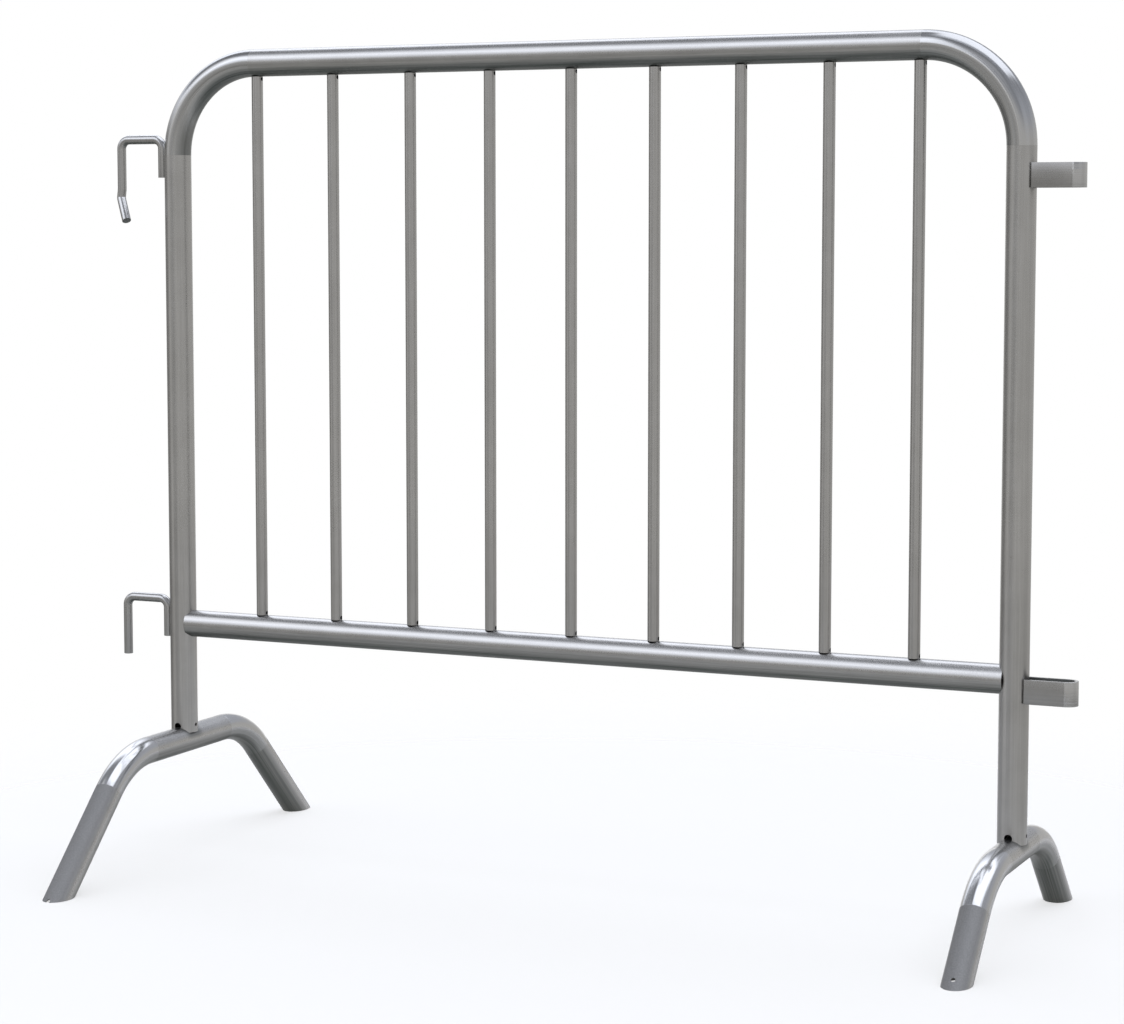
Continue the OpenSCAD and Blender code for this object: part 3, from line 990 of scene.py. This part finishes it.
def floor_material():
    """Pale floor that holds the object's shadow and fades out into the studio."""
    material, g = new_material("pale_floor")
    x, y, _ = g.split(g.add("ShaderNodeTexCoord", out="Object"))
    plain = g.add("ShaderNodeBsdfDiffuse", sockets={"Color": rgba(finish_settings().floor)})
    clear = g.add("ShaderNodeBsdfTransparent")
    rim = (x * x + y * y).root().ramp(*FLOOR_FADE, FLOOR_CLEAR, 1.0)
    g.add("ShaderNodeOutputMaterial", sockets={
        "Surface": g.add("ShaderNodeMixShader", sockets={0: rim, 1: plain, 2: clear})})
    return material


# Studio. Directions are unit vectors: x towards the loops, y to the back, z up. Headings are degrees from the front,
# positive towards the loops. Pairs are the ends of a smooth step.
WALL_LEVEL = 0.6
WALL_SHADES = ((-27, 12, 24, 0.19), (-98, 14, 34, 0.32), (97, 10, 24, 0.05))  # heading, inner and outer reach, shade
# Left half of the ceiling, which starts higher towards the back, and the dark gap in it with a slanting front edge.
CEILING_RISE, CEILING_LATE, CEILING_LATE_BY = (0.06, 0.62), (0.0, 0.75), 0.45
GAP_LEVEL, GAP_FRONT, GAP_SLANT = 0.36, -0.72, (-0.42, -0.25, -0.1, -0.38)
GAP_BACK, GAP_RISE = (0.22, 0.42), (0.3, 0.45)
# Right half: a light box, its edges as slopes from straight up, over a wall that is dimmer high up.
BOX_RIGHT, BOX_FRONT, BOX_BACK, BOX_RISE = 0.86, 0.3, 1.15, (0.5, 0.64)
BOX_SOFT_SIDE, BOX_SOFT_ENDS = 0.07, 0.08
DIM_SHARE, DIM_RISE, DIM_RIGHT, DIM_BACK = 0.32, (0.1, 0.35), (0.6, 0.85), (0.3, 0.7)
HALVES = (-0.2, -0.1)
# Below the horizon: the feet of the walls, and the pale ground.
WALL_FOOT, GROUND_LEVEL, GROUND_FALL = (-0.45, -0.08, 0.72, 1.0), 0.8, (0.28, 0.55)
# Strip of light in front, leaning away from the loops as it rises.
STRIP_LEVEL, STRIP_AT, STRIP_LEAN, STRIP_REACH = 1.5, 5.0, 16.0, (2.0, 7.0)
STRIP_RISE, STRIP_END = (0.02, 0.3), (0.5, 0.6)
# White backdrop, along the way the camera looks.
VIEW_X, VIEW_Y = -0.41, 0.91
WHITE_SIDES, WHITE_TOP, WHITE_ROUND, WHITE_RISE = (0.8, 0.93), (0.28, 0.42), 7.0, (0.08, 0.16, 1.0, 1.4)
WHITE = (1.0, 1.0, 1.0, 1.0)
TINT_WARM, TINT_COOL, TINT_RISE = (1.0, 0.985, 0.96, 1.0), (0.87, 0.905, 1.0, 1.0), (0.05, 0.4)


def studio_world(scene):
    """White behind the object, grey walls round it, a bright ceiling with a dark gap on the left, a light box on the
    right and a strip of light in front."""
    look = finish_settings()
    world = bpy.data.worlds.new("studio")
    scene.world = world
    world.use_nodes = True
    world.node_tree.nodes.clear()
    g = Graph(world.node_tree)
    x, y, z = g.split(g.add("ShaderNodeTexCoord", out="Generated"))
    heading = x.math("ARCTAN2", x, -y) * math.degrees(1)
    walls = WALL_LEVEL
    for centre, inner, outer, shade in WALL_SHADES:
        walls = walls - abs(heading - centre).fade(inner, outer) * shade
    late = (x + y).ramp(*CEILING_LATE) * CEILING_LATE_BY
    gap = y.ramp(GAP_FRONT, x.ramp(*GAP_SLANT)) * y.fade(*GAP_BACK) * z.ramp(*GAP_RISE)
    left = walls.towards(look.ceiling, (z - late).ramp(*CEILING_RISE)).towards(GAP_LEVEL, gap)
    box = (z * BOX_RIGHT - x).step(soft=BOX_SOFT_SIDE) * z.ramp(*BOX_RISE)
    box = box * (y + z * BOX_FRONT).step(soft=BOX_SOFT_ENDS) * (z * BOX_BACK - y).step(soft=BOX_SOFT_ENDS)
    dim = z.ramp(*DIM_RISE) * x.fade(*DIM_RIGHT) * y.fade(*DIM_BACK)
    right = (walls * (1.0 - dim * DIM_SHARE)).towards(look.ceiling, box)
    level = left.towards(right, x.ramp(*HALVES)) * z.ramp(*WALL_FOOT)
    level = level.towards(GROUND_LEVEL, (-z).ramp(*GROUND_FALL))
    strip = abs(heading + STRIP_AT + z * STRIP_LEAN).fade(*STRIP_REACH) * z.ramp(*STRIP_RISE) * z.fade(*STRIP_END)
    level = level.towards(STRIP_LEVEL, strip)
    away = y * VIEW_Y + x * VIEW_X
    behind = away.ramp(*WHITE_SIDES) * (z + (1.0 - away) * WHITE_ROUND).fade(*WHITE_TOP)
    level = level.towards(z.ramp(*WHITE_RISE), behind)
    tint = g.mixed(behind, g.mixed(z.ramp(*TINT_RISE), TINT_WARM, TINT_COOL), WHITE)
    sky = g.add("ShaderNodeBackground", sockets={"Color": tint, "Strength": level})
    g.add("ShaderNodeOutputWorld", sockets={"Surface": sky})


# Lamps: name, place, size and power. Both look at the middle of the panel.
LAMPS = (("key", (0.6, -3.6, 3.6), (3.2, 1.4), 2.5), ("fill", (-3.4, -1.6, 3.2), (2.0, 2.0), 6))
LAMP_AIM = (0, 0, 0.6)
# Camera: the picture's size, focal length and middle row in pixels, then its place, its tilt and its heading.
PICTURE_W, PICTURE_H = 1124, 1024
FOCAL_PX, MIDDLE_ROW = 2796.855, 474.268
SENSOR_MM = 36
EYE = (1.548952, -3.411265, 0.906528)
EYE_TILT, EYE_HEADING = math.radians(84.8722), math.radians(24.482)


class BARRIER_OT_stage(bpy.types.Operator):
    """Pale floor, soft studio light and the camera"""
    bl_idname = "barrier.stage"
    bl_label = "Stage"

    def execute(self, context):
        scene = context.scene
        scene.view_settings.view_transform = "Standard"
        shape = bmesh.new()
        bmesh.ops.create_grid(shape, x_segments=1, y_segments=1, size=FLOOR_HALF)
        floor = placed("floor", meshed("floor", shape))
        floor.data.materials.append(floor_material())
        studio_world(scene)
        for name, place, size, power in LAMPS:
            lamp = bpy.data.lights.new(name, "AREA")
            lamp.shape = "RECTANGLE"
            lamp.size, lamp.size_y = size
            lamp.energy = power
            holder = placed(name, lamp)
            holder.location = place
            holder.rotation_euler = (Vector(LAMP_AIM) - Vector(place)).to_track_quat("-Z", "Y").to_euler()
        camera = bpy.data.cameras.new("camera")
        camera.sensor_width = SENSOR_MM
        camera.sensor_fit = "HORIZONTAL"
        camera.lens = FOCAL_PX / PICTURE_W * SENSOR_MM
        camera.shift_y = (MIDDLE_ROW - PICTURE_H / 2) / PICTURE_W
        camera.dof.use_dof = False
        eye = placed("camera", camera)
        eye.location = EYE
        eye.rotation_euler = (EYE_TILT, 0, EYE_HEADING)
        scene.camera = eye
        return {"FINISHED"}


STEPS = (BARRIER_OT_frame, BARRIER_OT_pickets, BARRIER_OT_feet, BARRIER_OT_hooks, BARRIER_OT_loops,
         BARRIER_OT_welds, BARRIER_OT_stage)
GROUPS = (("barrier_tubes", BarrierTubes), ("barrier_fittings", BarrierFittings), ("barrier_finish", BarrierFinish))


class BARRIER_PT_panel(bpy.types.Panel):
    """Sizes, colours and steps of the barrier panel"""
    bl_idname = "BARRIER_PT_panel"
    bl_label = "Barrier panel"
    bl_space_type = "VIEW_3D"
    bl_region_type = "UI"
    bl_category = "Barrier"

    def draw(self, context):
        for step in STEPS:
            self.layout.operator(step.bl_idname)
        for group in (tube_settings(), fitting_settings(), finish_settings()):
            box = self.layout.box()
            for key in group.__annotations__:
                box.prop(group, key)


def register():
    """Adds the settings, the steps and the panel."""
    for name, group in GROUPS:
        bpy.utils.register_class(group)
        setattr(bpy.types.Scene, name, bpy.props.PointerProperty(type=group))
    for kind in (*STEPS, BARRIER_PT_panel):
        bpy.utils.register_class(kind)


def unregister():
    """Removes them again."""
    for kind in reversed((*STEPS, BARRIER_PT_panel)):
        bpy.utils.unregister_class(kind)
    for name, group in reversed(GROUPS):
        delattr(bpy.types.Scene, name)
        bpy.utils.unregister_class(group)


def main():
    """Builds every piece and the stage."""
    register()
    bpy.ops.barrier.frame()
    bpy.ops.barrier.pickets()
    bpy.ops.barrier.feet()
    bpy.ops.barrier.hooks()
    bpy.ops.barrier.loops()
    bpy.ops.barrier.welds()
    bpy.ops.barrier.stage()


if __name__ == "__main__":
    main()
